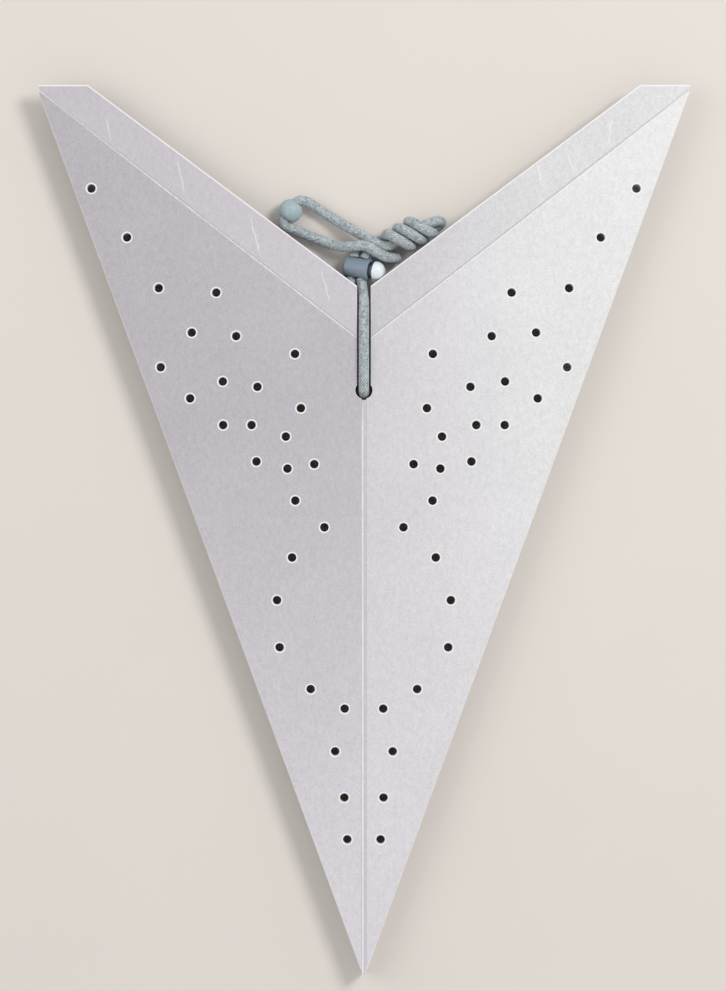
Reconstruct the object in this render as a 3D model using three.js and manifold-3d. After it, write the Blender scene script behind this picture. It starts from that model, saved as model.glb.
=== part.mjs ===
// A folded paper star lantern of seven points, lying flat on its lowest leaf.
// Each point is a pair of scored leaves joined at the tip, and the pairs are joined to each other
// at their valley corners, so the whole stack opens about the line through the apex corners.
// Millimetres. +X runs across the leaf, +Y from the tip to the apex line, +Z out of the stack.
import * as THREE from "three";
import { mergeVertices } from "three/addons/utils/BufferGeometryUtils.js";
import Module from "manifold-3d";

const wasm = await Module();
wasm.setup();

// Driving dimensions of a leaf
const pointCount = 7;
const apexReach = 109.5; // from the middle fold to an apex corner
const tipReach = 298; // from the apex line to the tip
const valleyReach = 85; // from the apex line to the valley corner
const paper = 0.4;
const layerGap = 0.3;
const clearance = 0.3;
const foldWidth = 1.0; // the scored strip between a leaf's two sides
const tipCut = 5; // length of the blunted tip
const apexCut = 6; // how far below the apex line a side's corner ends
const flapRise = 1.3; // the end flaps stand this far above the apex line
const flapTop = 17; // width of an end flap's top edge
const flapCorner = 1.5; // the top edge starts this far in from the apex corner
const flapStart = 2; // along the crease, from the apex corner
const firstFlapStart = 30; // the first leaf's flaps, which fold back over their own leaf
const firstFlapTaper = 12; // along the crease, at the flap's apex end
const firstFlapWidth = 11.5;
const firstFlapGap = 0.9; // beside the crease
const notchRise = 17.2; // from the valley corner to the notch between the end flaps
const stripWidth = 6; // glue strip between two joined leaves
const stripInset = 3.5; // along the crease, from a trimmed side's corner
const slotHalf = 2.3; // half the slot that the cord lies in
const cordHoleRadius = 2.9;
const cordHoleDrop = 16; // from the valley corner to the cord hole's centre

// Punched holes, as shares of apexReach across and of tipReach below the apex line
const punchRadius = 1.25;
const punchSides = 6;
const punchShares = [
  [0.834, 0.112], [0.725, 0.167], [0.628, 0.224], [0.452, 0.229], [0.527, 0.274], [0.391, 0.278],
  [0.211, 0.298], [0.622, 0.313], [0.432, 0.329], [0.326, 0.335], [0.532, 0.348], [0.193, 0.359],
  [0.431, 0.378], [0.344, 0.378], [0.239, 0.391], [0.329, 0.419], [0.152, 0.422], [0.234, 0.427],
  [0.21, 0.463], [0.121, 0.493], [0.22, 0.527], [0.266, 0.575], [0.258, 0.628], [0.163, 0.675],
  [0.059, 0.697], [0.088, 0.745], [0.06, 0.797], [0.051, 0.844],
];

// Cord, bead and cord lock
const cordDiameter = 3.2;
const cordSides = 8;
const cordStep = 1; // length of the tube's steps
const beadRadius = 4;
const beadBore = 2.1; // radius of the bead's hole
const beadPlace = [-24.6, -40.5, 4.15];
const beadTurn = THREE.MathUtils.degToRad(-36); // of the bore, from Y
const lockPlace = [-2, -59.8, 5.2]; // middle of the barrel
const lockTurn = THREE.MathUtils.degToRad(-10);
const lockTilt = THREE.MathUtils.degToRad(20); // raises the button
const lockEuler = new THREE.Euler(0, -lockTilt, lockTurn, "ZYX");
const strandApart = 1.85; // from the lock's middle to each strand in it
const strandDepth = 3.3; // the strands end this far from the barrel's axis
const barrelRadius = 3.8;
const barrelLength = 9;
const barrelBore = 2.6; // radius
const barrelFloor = 0.9;
const passWidth = 7.6; // the cord's way through the barrel, along it
const passHeight = 4.0;
const buttonRadius = 3.2;
const buttonRim = 0.5; // straight part of the button, before its dome
const buttonTravel = 1.2;
const stemRadius = 2.3;
const springLength = 1.2;
const springWall = 0.6;

// How far the folds turn when the star is fully open, in radians
const pointAngle = (2 * Math.PI) / pointCount;
const creaseLength = Math.hypot(apexReach, valleyReach);
const foldLength = tipReach - valleyReach;
const reachShare = ((2 * tipReach) / foldLength - 1) * Math.sin(pointAngle / 2);
const tipHalfTurn = (Math.asin(reachShare) - pointAngle / 2) / 2;
const sideTurn = Math.asin((tipReach * Math.tan(tipHalfTurn)) / apexReach);
const trimmedSlope = tipHalfTurn / sideTurn;

const leafCount = 2 * pointCount;
const leafPitch = paper + layerGap;
const apexY = (tipReach - tipCut - flapRise) / 2; // puts the stack's middle over the origin

const materials = {
  paper: new THREE.MeshStandardMaterial({ color: 0xc9c7cf, roughness: 0.55, metalness: 0.25 }),
  cord: new THREE.MeshStandardMaterial({ color: 0x9fb0b6, roughness: 0.9, metalness: 0 }),
  plastic: new THREE.MeshStandardMaterial({ color: 0x9db4c0, roughness: 0.35, metalness: 0 }),
  wood: new THREE.MeshStandardMaterial({ color: 0x8fabad, roughness: 0.5, metalness: 0 }),
  steel: new THREE.MeshStandardMaterial({ color: 0xb8bcc0, roughness: 0.3, metalness: 1 }),
};

const lantern = new THREE.Group();

function place(name, geometry, material) {
  const mesh = new THREE.Mesh(geometry, material);
  mesh.name = name;
  lantern.add(mesh);
  return mesh;
}

// A closed solid for cutting and joining, and back again
function toSolid(geometry) {
  const bare = geometry.clone();
  bare.deleteAttribute("uv");
  bare.deleteAttribute("normal");
  const merged = mergeVertices(bare);
  return new wasm.Manifold(
    new wasm.Mesh({
      numProp: 3,
      vertProperties: merged.attributes.position.array,
      triVerts: Uint32Array.from(merged.index.array),
    }),
  );
}

function toGeometry(solid) {
  const mesh = solid.getMesh();
  const geometry = new THREE.BufferGeometry();
  geometry.setAttribute("position", new THREE.BufferAttribute(mesh.vertProperties, 3));
  geometry.setIndex(new THREE.BufferAttribute(mesh.triVerts, 1));
  geometry.computeVertexNormals();
  return geometry;
}

function isEnd(number) {
  return number === 1 || number === leafCount;
}

// Leaf outlines: across from the middle fold, along from the apex line (tip negative)
const creaseDrop = valleyReach / apexReach; // how fast the crease falls towards the valley
const creaseAcross = apexReach / creaseLength;
const creaseAlong = valleyReach / creaseLength;

// The height of a line beside the crease, offset towards the apex, at a place across the leaf
function creaseAt(across, offset) {
  return -valleyReach + across * creaseDrop + offset / creaseAcross;
}

// A point beside the crease, a length down it from the apex corner
function besideCrease(length, offset) {
  return [
    apexReach - length * creaseAcross - offset * creaseAlong,
    -length * creaseAlong + offset * creaseAcross,
  ];
}

function cordHoleArc(across) {
  const middle = -valleyReach - cordHoleDrop;
  const from = Math.asin(Math.sqrt(1 - (across / cordHoleRadius) ** 2));
  const inner = foldWidth / 2 + clearance;
  const to = -Math.asin(Math.sqrt(1 - (inner / cordHoleRadius) ** 2));
  const steps = 7;
  const points = [];
  for (let step = 0; step <= steps; step += 1) {
    const angle = from + ((to - from) * step) / steps;
    points.push([
      cordHoleRadius * Math.cos(angle),
      middle + cordHoleRadius * Math.sin(angle),
    ]);
  }
  return points;
}

// The corner at the crease of a side whose long edge has a slope
function sideCorner(edgeSlope, offset) {
  const creaseFoot = creaseAt(0, offset);
  const meeting = (edgeSlope * (tipReach + creaseFoot)) / (1 - edgeSlope * creaseDrop);
  const along = creaseAt(meeting, offset) - apexCut;
  return [(along - creaseFoot) / creaseDrop, along];
}

// The glue strips start where the most trimmed leaf has room for them
const stripStart = (apexReach - sideCorner(trimmedSlope, 0)[0]) / creaseAcross + stripInset;

// One side of a leaf. While a pair folds, its two sheets would cross near their long edges, so
// one of the two is trimmed back to the line on which they first meet.
function sideOutline(number) {
  const end = isEnd(number);
  const glued = number % 2 === 0 && !end;
  const trimmed = number === 2 || (number % 2 === 1 && !end);
  const edgeSlope = trimmed ? trimmedSlope : apexReach / tipReach;
  const inner = foldWidth / 2 + clearance;
  const offset = glued ? 0 : -clearance / 2;
  const corner = sideCorner(edgeSlope, offset);
  const points = [
    [inner, -tipReach + tipCut],
    [tipCut * edgeSlope, -tipReach + tipCut],
    [(tipReach + corner[1]) * edgeSlope, corner[1]],
    corner,
  ];
  if (glued) {
    points.push(besideCrease(stripStart, 0), besideCrease(stripStart + stripWidth, stripWidth));
  }
  points.push([slotHalf, creaseAt(slotHalf, glued ? stripWidth : offset)]);
  points.push(...cordHoleArc(slotHalf));
  return points;
}

function flapOutline(number) {
  const offset = number === 1 ? firstFlapGap : clearance / 2;
  const corner =
    number === 1
      ? [
          besideCrease(firstFlapStart, offset),
          besideCrease(firstFlapStart + firstFlapTaper, firstFlapWidth),
        ]
      : [
          besideCrease(flapStart, offset),
          [apexReach - flapCorner, flapRise],
          [apexReach - flapTop, flapRise],
        ];
  return [
    ...corner,
    [slotHalf, -valleyReach + notchRise + slotHalf * creaseDrop],
    [slotHalf, creaseAt(slotHalf, offset)],
  ];
}

function foldOutline() {
  const half = foldWidth / 2;
  const top = -valleyReach - cordHoleDrop - cordHoleRadius - clearance;
  return [
    [-half, -tipReach + tipCut],
    [half, -tipReach + tipCut],
    [half, top],
    [-half, top],
  ];
}

// A flat sheet of the paper, with its lower face at a height
function sheet(outline, side, height, punched) {
  const shape = new THREE.Shape();
  outline.forEach(([across, along], index) => {
    const spot = [across * side, along + apexY];
    if (index === 0) shape.moveTo(...spot);
    else shape.lineTo(...spot);
  });
  shape.closePath();
  if (punched) {
    for (const [acrossShare, alongShare] of punchShares) {
      const middle = [acrossShare * apexReach * side, apexY - alongShare * tipReach];
      const hole = new THREE.Path();
      for (let corner = 0; corner < punchSides; corner += 1) {
        const angle = (2 * Math.PI * corner) / punchSides;
        const spot = [
          middle[0] + punchRadius * Math.cos(angle),
          middle[1] + punchRadius * Math.sin(angle),
        ];
        if (corner === 0) hole.moveTo(...spot);
        else hole.lineTo(...spot);
      }
      hole.closePath();
      shape.holes.push(hole);
    }
  }
  const geometry = new THREE.ExtrudeGeometry(shape, { depth: paper, bevelEnabled: false });
  geometry.translate(0, 0, height);
  return geometry;
}

const sides = { left: -1, right: 1 };

function addLeaf(number) {
  const end = isEnd(number);
  const height = (number - 1) * leafPitch;
  const name = `leaf_${String(number).padStart(2, "0")}`;
  place(`${name}_fold`, sheet(foldOutline(), 1, height, false), materials.paper);
  for (const [side, sign] of Object.entries(sides)) {
    place(`${name}_${side}`, sheet(sideOutline(number), sign, height, end), materials.paper);
    if (end) place(`${name}_${side}_flap`, sheet(flapOutline(number), sign, height, false), materials.paper);
  }
}

// A curve through a list of points, given across, from the apex line, and up
function cordPath(points) {
  const spots = points.map(([across, along, up]) => new THREE.Vector3(across, along + apexY, up));
  return new THREE.CatmullRomCurve3(spots, false, "centripetal");
}

function cordTube(path, steps) {
  const section = new THREE.Shape();
  for (let corner = 0; corner < cordSides; corner += 1) {
    const angle = (2 * Math.PI * corner) / cordSides;
    const spot = [(cordDiameter / 2) * Math.cos(angle), (cordDiameter / 2) * Math.sin(angle)];
    if (corner === 0) section.moveTo(...spot);
    else section.lineTo(...spot);
  }
  section.closePath();
  return new THREE.ExtrudeGeometry(section, { steps, extrudePath: path, bevelEnabled: false });
}

// Where a strand ends in the lock's passage: the left or right strand, below or above the lock
function lockEnd(strand, side) {
  const spot = new THREE.Vector3(strand * strandApart, side * strandDepth, 0);
  spot.applyEuler(lockEuler).add(new THREE.Vector3(...lockPlace));
  return spot.toArray();
}

// The cord from the lock, over the last leaf, through the cord hole and back inside the slots
const tieRoute = [
  lockEnd(1, -1), [-0.7, -64.8, 6.1], [-0.5, -66.4, 6.8], [-0.2, -68.6, 7.8], [0, -71, 8.6],
  [0, -74, 9.4], [0, -79, 10.1], [0, -84, 10.4], [0, -91, 10.4], [0, -97, 10.3], [0, -100.6, 9],
  [0, -101.9, 6.4], [0, -100.6, 3.9], [0, -97, 2.6], [0, -91, 2.5], [0, -82, 2.5], [0, -75, 2.5],
  [-0.5, -71.5, 2.6], [-2.3, -69, 3], [-4, -66.6, 3.9], [-4.3, -64.8, 4.6], lockEnd(-1, -1),
];

// The loop that the lantern hangs by: from the lock, wound round itself, back through the turns,
// out to the bead and home again under itself
const wrapFrom = [10.4, -51.3, 5.5];
const wrapTo = [20.5, -45.4, 5.5];
const wrapGap = 0.6; // between the turns and the core
const wrapRadius = cordDiameter + wrapGap;
const wrapLean = 0.4; // how far the turns lean over, for each length across
const wrapSteps = 33;
const wrapStart = 0.25 * Math.PI;
const wrapEnd = 5.75 * Math.PI;
const coreSteps = 3;
const loopOut = [
  lockEnd(-1, 1), [-3, -55, 4.3], [-2.4, -53.9, 3], [-0.6, -53, 1.85], [2, -51.7, 1.7],
  [5, -50.7, 1.7], [7, -49.6, 1.75],
];
const loopTurn = [
  [23, -46, 1.75], [25, -45.5, 2.1], [26, -44.7, 3], [26, -44.2, 4.2], [25, -43.9, 5.2],
  [23.4, -44.3, 5.5],
];
const loopBead = [
  [8.2, -52.4, 5.5], [5.4, -52.1, 5.4], [2.2, -50.4, 5.3], [-3.4, -47.2, 4.6], [-10.3, -43, 2.6],
  [-14.6, -40.2, 2.3], [-18, -38, 3], [-20.4, -37.1, 3.8], [-22.4, -37.4, 4.15], beadPlace,
  [-26.7, -43.4, 4.15], [-26.9, -45, 4.1], [-25.8, -45.9, 3.8], [-23.9, -46.6, 3.4],
  [-21.4, -47.6, 3], [-17, -49.4, 2.6], [-12.3, -51.3, 3.2], [-8, -52.6, 5.2], [-4.4, -52.7, 7.1],
  [0.4, -52.5, 8.2], [4.2, -54.5, 8.2], [7.8, -56.2, 6.6], [9.9, -56.5, 5.5], [10.9, -56.5, 4.3],
  [10.7, -56.5, 3], [9.3, -56.5, 2.1], [7.2, -56.3, 1.7], [5.4, -56.2, 1.8], [3.8, -55.7, 2.6],
  [2.3, -55.2, 4.1], [0.8, -55.7, 5.6], lockEnd(1, 1),
];

function loopRoute() {
  const from = new THREE.Vector3(...wrapFrom);
  const to = new THREE.Vector3(...wrapTo);
  const along = to.clone().sub(from).normalize();
  const up = new THREE.Vector3(0, 0, 1);
  const sideways = new THREE.Vector3().crossVectors(up, along);
  const wraps = [];
  for (let step = 0; step <= wrapSteps; step += 1) {
    const angle = THREE.MathUtils.lerp(wrapStart, wrapEnd, step / wrapSteps);
    const spot = from.clone().lerp(to, step / wrapSteps);
    spot.addScaledVector(sideways, wrapRadius * Math.sin(angle));
    spot.addScaledVector(along, -wrapLean * wrapRadius * Math.sin(angle));
    spot.addScaledVector(up, -wrapRadius * Math.cos(angle));
    wraps.push(spot.toArray());
  }
  const core = [];
  for (let step = 0; step <= coreSteps; step += 1) {
    core.push(to.clone().lerp(from, step / coreSteps).toArray());
  }
  return [...loopOut, ...wraps, ...loopTurn, ...core, ...loopBead];
}

// The least gap between stretches of a cord that lie further apart along it than a few diameters
function leastGap(path) {
  const spacing = cordDiameter / 8;
  const spots = path.getSpacedPoints(Math.round(path.getLength() / spacing));
  const apart = Math.round((3 * cordDiameter) / spacing);
  let least = Infinity;
  for (let first = 0; first < spots.length; first += 1) {
    for (let second = first + apart; second < spots.length; second += 1) {
      least = Math.min(least, spots[first].distanceTo(spots[second]));
    }
  }
  return least - cordDiameter;
}

function beadSolid() {
  const ball = toSolid(new THREE.SphereGeometry(beadRadius, 24, 14));
  const bore = toSolid(new THREE.CylinderGeometry(beadBore, beadBore, 3 * beadRadius, 16));
  const geometry = toGeometry(ball.subtract(bore));
  geometry.rotateZ(beadTurn);
  geometry.translate(beadPlace[0], beadPlace[1] + apexY, beadPlace[2]);
  return geometry;
}

// The cord lock lies along X before it is turned: barrel to the left, button to the right
const barrelEnd = barrelLength / 2;
const domeSteps = 6;
const stemEnd = -barrelEnd + barrelFloor + clearance + springLength + buttonTravel;

function alongX(geometry, middle) {
  return toSolid(geometry.rotateZ(-Math.PI / 2).translate(middle, 0, 0));
}

function cordPass() {
  return toSolid(new THREE.BoxGeometry(passWidth, 3 * barrelRadius, passHeight));
}

function placeLock(name, solid, material) {
  const mesh = place(name, toGeometry(solid), material);
  mesh.position.set(lockPlace[0], lockPlace[1] + apexY, lockPlace[2]);
  mesh.rotation.copy(lockEuler);
}

function barrelSolid() {
  const wall = alongX(new THREE.CylinderGeometry(barrelRadius, barrelRadius, barrelLength, 32), 0);
  const bore = alongX(
    new THREE.CylinderGeometry(barrelBore, barrelBore, barrelLength, 32),
    barrelFloor,
  );
  return wall.subtract(bore).subtract(cordPass());
}

function plungerSolid() {
  const head = barrelEnd + buttonTravel + clearance;
  const stemLength = head - stemEnd + clearance;
  const stem = alongX(
    new THREE.CylinderGeometry(stemRadius, stemRadius, stemLength, 24),
    stemEnd + stemLength / 2,
  );
  const profile = [new THREE.Vector2(0, 0)];
  for (let step = 0; step <= domeSteps; step += 1) {
    const angle = (Math.PI * step) / (2 * domeSteps);
    const across = step === domeSteps ? 0 : buttonRadius * Math.cos(angle);
    profile.push(new THREE.Vector2(across, buttonRim + buttonRadius * Math.sin(angle)));
  }
  profile.splice(1, 0, new THREE.Vector2(buttonRadius, 0));
  const button = alongX(new THREE.LatheGeometry(profile, 32), head);
  return stem.subtract(cordPass()).add(button);
}

function springSolid() {
  const outer = barrelBore - clearance;
  const ring = alongX(
    new THREE.CylinderGeometry(outer, outer, springLength, 20),
    -barrelEnd + barrelFloor + clearance + springLength / 2,
  );
  const inside = alongX(
    new THREE.CylinderGeometry(outer - springWall, outer - springWall, 2 * barrelLength, 20),
    0,
  );
  return ring.subtract(inside);
}

for (let number = 1; number <= leafCount; number += 1) addLeaf(number);
for (const [name, route] of Object.entries({ tie_cord: tieRoute, hanging_cord: loopRoute() })) {
  const path = cordPath(route);
  const steps = Math.round(path.getLength() / cordStep);
  place(name, cordTube(path, steps), materials.cord);
  console.log(`${name}: ${path.getLength().toFixed(0)} mm, least gap ${leastGap(path).toFixed(2)} mm`);
}
place("cord_bead", beadSolid(), materials.wood);
placeLock("lock_barrel", barrelSolid(), materials.plastic);
placeLock("lock_plunger", plungerSolid(), materials.plastic);
placeLock("lock_spring", springSolid(), materials.steel);

export default lantern;
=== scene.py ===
"""Dressing of the folded paper star lantern: punched leaves, braided cord, bead and cord lock."""

import math

import bmesh
import bpy
from mathutils import Matrix, Vector
from mathutils.kdtree import KDTree


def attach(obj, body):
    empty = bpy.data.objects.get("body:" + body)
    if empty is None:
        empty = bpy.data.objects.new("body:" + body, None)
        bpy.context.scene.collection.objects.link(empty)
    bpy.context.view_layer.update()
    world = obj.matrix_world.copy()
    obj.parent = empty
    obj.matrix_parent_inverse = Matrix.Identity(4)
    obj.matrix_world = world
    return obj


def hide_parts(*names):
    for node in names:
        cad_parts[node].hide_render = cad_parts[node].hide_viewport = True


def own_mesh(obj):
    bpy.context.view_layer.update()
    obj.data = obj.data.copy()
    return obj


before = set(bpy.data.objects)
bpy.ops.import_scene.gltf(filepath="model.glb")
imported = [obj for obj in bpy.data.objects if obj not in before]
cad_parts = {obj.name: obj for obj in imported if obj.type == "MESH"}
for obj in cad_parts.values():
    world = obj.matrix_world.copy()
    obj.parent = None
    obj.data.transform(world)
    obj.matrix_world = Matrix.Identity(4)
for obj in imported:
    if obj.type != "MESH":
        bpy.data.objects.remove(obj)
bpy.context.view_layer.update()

# Sizes are in millimetres, and a piece is scaled to metres when it is placed
MM = 0.001
NEAR = 0.01  # two places this close are the same
UPRIGHT = 0.1  # a face whose normal rises less than this is a wall

# A leaf, as the solids have it
LEAF_COUNT = 14
APEX_REACH = 109.5
TIP_REACH = 298
VALLEY_REACH = 85
PAPER = 0.4
LAYER_GAP = 0.3
CLEARANCE = 0.3
TIP_CUT = 5
APEX_CUT = 6
FLAP_RISE = 1.3
FLAP_TOP = 17
FIRST_FLAP_START = 30
FIRST_FLAP_TAPER = 12
FIRST_FLAP_WIDTH = 11.5
FIRST_FLAP_GAP = 0.9
NOTCH_RISE = 17.2
STRIP_WIDTH = 6
STRIP_INSET = 3.5
SLOT_HALF = 2.3
CORD_HOLE_RADIUS = 2.9
CORD_HOLE_DROP = 16
POINT_HALF_ANGLE = math.pi * 2 / LEAF_COUNT

LEAF_PITCH = PAPER + LAYER_GAP
APEX_Y = (TIP_REACH - TIP_CUT - FLAP_RISE) / 2
CREASE_LENGTH = math.hypot(APEX_REACH, VALLEY_REACH)
CREASE_DROP = VALLEY_REACH / APEX_REACH
CREASE_ACROSS = APEX_REACH / CREASE_LENGTH
CREASE_ALONG = VALLEY_REACH / CREASE_LENGTH
REACH_SHARE = (2 * TIP_REACH / (TIP_REACH - VALLEY_REACH) - 1) * math.sin(POINT_HALF_ANGLE)
TIP_HALF_TURN = (math.asin(REACH_SHARE) - POINT_HALF_ANGLE) / 2
SIDE_TURN = math.asin(TIP_REACH * math.tan(TIP_HALF_TURN) / APEX_REACH)
TRIMMED_SLOPE = TIP_HALF_TURN / SIDE_TURN
# The end flaps' inner edge, which rises from the notch to the flap's top
NOTCH_ALONG = -VALLEY_REACH + NOTCH_RISE + SLOT_HALF * CREASE_DROP
NOTCH_SLOPE = (FLAP_RISE - NOTCH_ALONG) / (APEX_REACH - FLAP_TOP - SLOT_HALF)
NOTCH_FOOT = SLOT_HALF * NOTCH_SLOPE - NOTCH_ALONG

# Punched holes, as shares of the apex reach across and of the tip reach below the apex line
PUNCH_SHARES = (
    (0.834, 0.112), (0.725, 0.167), (0.628, 0.224), (0.452, 0.229), (0.527, 0.274),
    (0.391, 0.278), (0.211, 0.298), (0.622, 0.313), (0.432, 0.329), (0.326, 0.335),
    (0.532, 0.348), (0.193, 0.359), (0.431, 0.378), (0.344, 0.378), (0.239, 0.391),
    (0.329, 0.419), (0.152, 0.422), (0.234, 0.427), (0.21, 0.463), (0.121, 0.493),
    (0.22, 0.527), (0.266, 0.575), (0.258, 0.628), (0.163, 0.675), (0.059, 0.697),
    (0.088, 0.745), (0.06, 0.797), (0.051, 0.844),
)
PUNCH_PLACES = [(across * APEX_REACH, -along * TIP_REACH) for across, along in PUNCH_SHARES]
PUNCH_SIDES = 16
BITE_STEPS = 12
# A rim's rings from the bottom to the top: radius, and height as a share of the paper
RIM_RINGS = ((1.54, 0), (1.46, 0.5), (1.48, 0.98), (1.67, 1.16), (1.96, 1))
RIM_ROOM = 0.5  # of paper left between a rim and a sheet's edge
BITE_DEEPEST = 0.98  # how far a bite's centre may lie inside the edge, as a share of its radius
EDGE_BEVEL = 0.12
EDGE_STEPS = 2
SCORE_GAP = 0.05  # from a scored line to the sheet beside it
CORD_HOLE_STEPS = 14

# The outer leaves run up into their apex corners and down into their tips
OUTER_APEX_CUT = 0.8
OUTER_FLAP_START = 0.8
OUTER_FLAP_CORNER = 0.3
SIDE_TIP_CUT = 3

# The scored strip at the middle fold, a low ridge that narrows at the tip
FOLD_TIP_CUT = 1
FOLD_HALF = 0.7
FOLD_RIDGE = 0.08
FOLD_RIDGE_HALF = 0.4
FOLD_SHOULDER = 0.06

# Cord, bead and lock
CORD_RADIUS = 1.75
BEAD_RADIUS = 4
BEAD_BORE = 2.1
BEAD_PLACE = (-24.6, -40.5, 4.15)
BEAD_TURN = math.radians(-36)
LOCK_PLACE = (-2, -59.8, 5.2)
LOCK_TURN = math.radians(-10)
LOCK_TILT = math.radians(20)
STRAND_APART = 1.85
STRAND_DEPTH = 3.3
PASS_WIDTH = 7.6
PASS_HEIGHT = 4.0
PASS_REACH = 12  # longer than the barrel is wide
PASS_CORNER = 1.2

# The camera looks straight down and takes in the photograph's frame. These are in metres
CAMERA_X = -0.0003
CAMERA_Y = 0.0096
CAMERA_HEIGHT = 1.3
FRAME_HEIGHT = 0.332
TOP_LEAF_HEIGHT = 0.0095
SENSOR = 36  # in millimetres

camera_data = bpy.data.cameras.new("camera")
camera_data.sensor_width = SENSOR
camera_data.lens = SENSOR * (CAMERA_HEIGHT - TOP_LEAF_HEIGHT) / FRAME_HEIGHT
camera = bpy.data.objects.new("camera", camera_data)
camera.location = (CAMERA_X, CAMERA_Y, CAMERA_HEIGHT)
bpy.context.scene.collection.objects.link(camera)
bpy.context.scene.camera = camera


class Number:
    """A number that varies over a surface, for use in ordinary expressions."""

    def __init__(self, finish, socket):
        self.finish = finish
        self.socket = socket

    def maths(self, operation, *values):
        sockets = dict(enumerate(values))
        return self.finish.node("ShaderNodeMath", {"operation": operation}, sockets)

    def __add__(self, other):
        return self.maths("ADD", self, other)

    def __sub__(self, other):
        return self.maths("SUBTRACT", self, other)

    def __rsub__(self, other):
        return self.maths("SUBTRACT", other, self)

    def __mul__(self, other):
        return self.maths("MULTIPLY", self, other)

    def __abs__(self):
        return self.maths("ABSOLUTE", self)

    __radd__ = __add__
    __rmul__ = __mul__

    def floor(self):
        return self.maths("FLOOR", self)

    def fraction(self):
        return self.maths("FRACT", self)

    def larger(self, other):
        return self.maths("MAXIMUM", self, other)

    def sine(self):
        return self.maths("SINE", self)

    def between(self, low, high):
        """0 below low, 1 above high, and a straight slope from one to the other."""
        sockets = {"Value": self, "From Min": low, "From Max": high}
        return self.finish.node("ShaderNodeMapRange", {"clamp": True}, sockets)

    def line(self, middle, half, soft):
        """1 within half of the middle, falling to 0 over soft."""
        return 1 - abs(self - middle).between(half, half + soft)


class Finish:
    """The shader nodes of a material or of the room, with the node at their end."""

    def __init__(self, owner, end, fixed):
        self.material = owner
        owner.use_nodes = True
        self.tree = owner.node_tree
        self.shader = self.tree.nodes[end]
        self.set(fixed)

    @classmethod
    def named(cls, name, fixed):
        return cls(bpy.data.materials.new(name), "Principled BSDF", fixed)

    def node(self, kind, settings, sockets, output=0):
        made = self.tree.nodes.new(kind)
        for name, value in settings.items():
            setattr(made, name, value)
        for name, value in sockets.items():
            self.feed(made.inputs[name], value)
        return Number(self, made.outputs[output])

    def feed(self, socket, value):
        if isinstance(value, Number):
            self.tree.links.new(value.socket, socket)
        else:
            socket.default_value = value

    def set(self, sockets):
        for name, value in sockets.items():
            self.feed(self.shader.inputs[name], value)

    def place(self):
        """Where a point is on the object, in millimetres."""
        coordinates = self.node("ShaderNodeTexCoord", {}, {}, "Object")
        sockets = {0: coordinates, "Scale": 1 / MM}
        vector = self.node("ShaderNodeVectorMath", {"operation": "SCALE"}, sockets)
        return [self.node("ShaderNodeSeparateXYZ", {}, {0: vector}, axis) for axis in range(3)]

    def surface(self):
        """Where a point is on the piece's own unwrapped surface."""
        coordinates = self.node("ShaderNodeTexCoord", {}, {}, "UV")
        return [self.node("ShaderNodeSeparateXYZ", {}, {0: coordinates}, axis) for axis in range(2)]

    def noise(self, grain, detail=2, stretch=(1, 1, 1)):
        """Cloudy values round 0.5, with patches about grain millimetres wide."""
        coordinates = self.node("ShaderNodeTexCoord", {}, {}, "Object")
        placed = self.node("ShaderNodeMapping", {}, {0: coordinates, "Scale": stretch})
        sockets = {"Vector": placed, "Scale": 1 / (grain * MM), "Detail": detail}
        return self.node("ShaderNodeTexNoise", {}, sockets)

    def speckle(self, first, second):
        """A random value for each pair of whole numbers."""
        pair = self.node("ShaderNodeCombineXYZ", {}, {0: first, 1: second})
        settings = {"noise_dimensions": "2D"}
        return self.node("ShaderNodeTexWhiteNoise", settings, {"Vector": pair}, "Value")

    def mix(self, factor, first, second):
        sockets = {0: factor, 6: first, 7: second}
        return self.node("ShaderNodeMix", {"data_type": "RGBA"}, sockets, 2)

    def shade(self, colour, strength):
        base = colour[:3] if isinstance(colour, tuple) else colour
        sockets = {0: base, "Scale": strength}
        return self.node("ShaderNodeVectorMath", {"operation": "SCALE"}, sockets)

    def bump(self, height, depth):
        """Relief from a height of 0 to 1, depth millimetres deep."""
        sockets = {"Height": height, "Distance": depth * MM, "Strength": 1}
        self.set({"Normal": self.node("ShaderNodeBump", {}, sockets)})


# Colours, as a surface shows them under plain light, except the paper's side and tip tones, the
# score's shade and part of the cord's dark, which are painted light and shade
# The paper's side and tip tones are painted light and shade: the left half shaded, the right half
# lit more towards its outer edge, the tip paler where the halves meet
LEFT_PAINTED_SHADE_TONE = (0.517, 0.492, 0.528, 1)
RIGHT_PAINTED_LIGHT_TONE = (0.632, 0.605, 0.641, 1)  # near the fold
RIGHT_EDGE_PAINTED_LIGHT_TONE = (0.75, 0.747, 0.753, 1)
TIP_PAINTED_LIGHT_TONE = (0.725, 0.697, 0.735, 1)
# Painted shade in the grooves beside the scored lines
SCORE_PAINTED_SHADE = (0.33, 0.32, 0.35, 1)
BARE_PAPER = (0.90, 0.895, 0.90, 1)
CORD_TONE = (0.44, 0.495, 0.512, 1)
CORD_FLECK = (0.80, 0.84, 0.86, 1)
# The yarn's dark flecks, and painted shade where the plaits meet
CORD_DARK_FLECK_AND_PAINTED_SHADE = (0.19, 0.225, 0.25, 1)
BEAD_TONE = (0.36, 0.46, 0.49, 1)
BEAD_WORN = (0.47, 0.56, 0.585, 1)
BARREL_TONE = (0.205, 0.265, 0.33, 1)
BUTTON_TONE = (0.80, 0.87, 0.90, 1)
STEEL_TONE = (0.62, 0.63, 0.64, 1)
FLOOR_TONE = (0.772, 0.722, 0.672, 1)

# Where the paper's painted light and shade change: across from the fold, and down from the apex
# line
FOLD_BLEND = 0.5
RIGHT_FADE = 60
TIP_FADE = (110, 270)
TIP_SHARE = 0.9

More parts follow.
